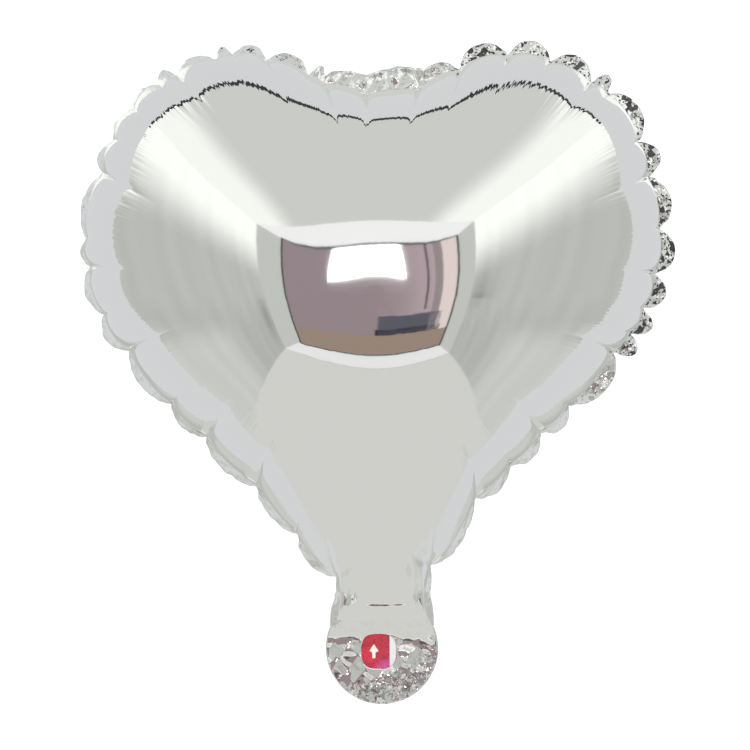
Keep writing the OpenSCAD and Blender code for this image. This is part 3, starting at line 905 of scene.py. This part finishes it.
def wall_glow(u, v):
    """A wall's cloth, brighter near the ceiling, with soft upright wrinkles. u is the height."""
    wrinkles = 0.012 * np.sin(37 * v + 4 * u) + 0.010 * np.sin(61 * v - 6 * u + 2 * np.sin(9 * u))
    low_back = 0.15 * fade(0.36 - u, 0, 0.14) * fade(0.62 - v, 0, 0.3)
    return 0.57 + 0.6 * fade(u, 0.72, 0.92) - 0.05 * fade(0.5 - u, 0, 0.3) + low_back + wrinkles


def right_glow(u, v):
    """The right wall, with a grey shadow near the mouth, which fades as a bell curve."""
    shadow = 0.36 * np.exp(-((u - 0.60) / 0.15) ** 2 - ((v - 0.90) / 0.12) ** 2)
    return wall_glow(u, v) * (1 - shadow)


def left_glow(u, v):
    """The left wall, with a narrower shadow near the mouth."""
    shadow = 0.28 * np.exp(-((1 - u - 0.30) / 0.2) ** 2 - ((v - 0.92) / 0.06) ** 2)
    return wall_glow(1 - u, v) * (1 - shadow)


def even(value):
    """The same strength all over a card."""
    return lambda u, v: value + 0 * u


grey_green, warm, lavender, white = (0.98, 1.0, 0.955), (1.0, 1.0, 0.96), (0.97, 0.98, 1.0), (1, 1, 1)
tent_back = upright(-0.53, 0.53, -0.55, 0.55, -0.025)
tent_mouth = upright(-0.445, 0.335, -0.65, 0.405, -1.2)
opening = (-0.295, 0.24, -0.53, 0.315)
card_ring("tent", tent_back, tent_mouth, (
    (warm, even(0.72)), (grey_green, right_glow), (grey_green, ceiling_glow), (grey_green, left_glow)),
    sag=(0, 0.045))
card_ring("mouth", tent_mouth, upright(*opening, -1.2), (
    (white, even(0.90)), (grey_green, even(0.62)), (white, even(1.0)), (grey_green, even(0.62))),
    sag=(0.045, 0.075))

# Dark piping along the mouth's foot, round the opening and along the ceiling's back seam.
piping = (0.9, 1.0, 1.0)
stage_card("mouth_sill", upright(-0.37, 0.28, -0.665, -0.648, -1.197), piping, 0.12)
left, right, low, high = opening
card_ring(
    "piping", upright(left - 0.010, right + 0.010, low - 0.012, high + 0.010, -1.198),
    upright(*opening, -1.198), ((piping, even(0.05)),) * 4, sag=(0.075, 0.075))
card_ring("back_wall", tent_back, upright(-0.15, 0.15, -0.09, 0.25, 0.06), ((lavender, even(0.76)),) * 4)
stage_card(
    "ceiling_seam",
    [(-0.53, -0.05, 0.544), (0.53, -0.05, 0.544), (0.53, -0.022, 0.546), (-0.53, -0.022, 0.546)],
    piping, 0.05)

# The plain room beyond the mouth: a wall and a floor, a lamp panel, a pale column with a dark edge,
# a thin stand, a low dark table and a painted shadow under it.
stage_card(
    "room_wall", upright(-2.0, 2.0, -2.2, 1.8, -2.6), (0.42, 0.335, 0.36),
    shade=lambda u, v: 0.8 + 0.4 * fade(u, 0.5, 0.56))
for name, box, colour, strength in (
        ("room_lamp", (-0.20, 0.10, 0.22, 0.42), white, 4.0),
        ("room_column", (0.36, 0.62, -1.05, 0.95), (0.85, 0.72, 0.69), 1.0),
        ("room_column_dark_edge", (0.29, 0.36, -1.05, 0.95), (0.34, 0.28, 0.29), 1.0),
        ("room_stand", (0.225, 0.240, -0.55, 0.60), (0.05, 0.04, 0.06), 1.0),
        ("room_table", (0.02, 0.40, -1.05, -0.62), (0.12, 0.12, 0.15), 1.0),
        ("room_table_painted_shadow", (0.0, 0.42, -1.35, -0.85), (0.03, 0.03, 0.035), 1.0)):
    stage_card(name, upright(*box, -2.59), colour, strength)
stage_card(
    "room_floor", [(-2, -2.6, -0.95), (2, -2.6, -0.95), (2, -1.3, -1.0), (-2, -1.3, -1.0)],
    (0.36, 0.27, 0.22))

# The same tent behind, which the back sheet shows.
rear_mouth = upright(-0.45, 0.45, -0.6, 0.45, 1.2)
rear_opening = upright(-0.26, 0.26, -0.30, 0.32, 1.2)
card_ring("rear_tent", upright(-0.53, 0.53, -0.60, 0.55, 0.064), rear_mouth, (
    (warm, even(0.68)), (grey_green, wall_glow), (grey_green, ceiling_glow),
    (grey_green, lambda u, v: wall_glow(1 - u, v))))
card_ring("rear_mouth", rear_mouth, rear_opening, (
    (white, even(0.9)), (grey_green, even(0.62)), (white, even(1.0)), (grey_green, even(0.62))))
stage_card(
    "rear_room", upright(-1.6, 1.6, -1.6, 1.6, 2.2), (0.42, 0.38, 0.39),
    shade=lambda u, v: 0.6 + 0.9 * fade(v, 0.4, 0.7))

# The even white light all round, the pale floor and the camera.
world = bpy.data.worlds.new("studio")
bpy.context.scene.world = world
world.use_nodes = True
sky = world.node_tree.nodes["Background"]
sky.inputs["Color"].default_value = (1, 1, 1, 1)
sky.inputs["Strength"].default_value = 1.25

floor_mesh = bpy.data.meshes.new("pale_floor")
floor_level = cad_box[0][2] - 60 * MM
floor_corners = [(x, y, floor_level) for x, y in ((-3, -3), (3, -3), (3, 3), (-3, 3))]
floor_mesh.from_pydata(floor_corners, [], [(0, 1, 2, 3)])
floor = bpy.data.objects.new("pale_floor", floor_mesh)
bpy.context.scene.collection.objects.link(floor)
floor_finish = bpy.data.materials.new("pale_floor")
floor_finish.use_nodes = True
floor_shader = floor_finish.node_tree.nodes["Principled BSDF"]
floor_shader.inputs["Base Color"].default_value = (0.9, 0.9, 0.9, 1)
floor_shader.inputs["Roughness"].default_value = 0.9
floor_mesh.materials.append(floor_finish)
floor.visible_glossy = False

camera_data = bpy.data.cameras.new("camera")
camera = bpy.data.objects.new("camera", camera_data)
bpy.context.scene.collection.objects.link(camera)
view_width = 0.26775
camera_distance = 1.3
camera_aside, camera_height = -0.0009, 0.0768
camera.location = (camera_aside, -camera_distance, camera_height)
camera.rotation_euler = (np.pi / 2, 0, 0)
camera_data.sensor_width = 36
camera_data.lens = camera_data.sensor_width * camera_distance / view_width
bpy.context.scene.camera = camera
bpy.context.scene.view_settings.view_transform = "Standard"
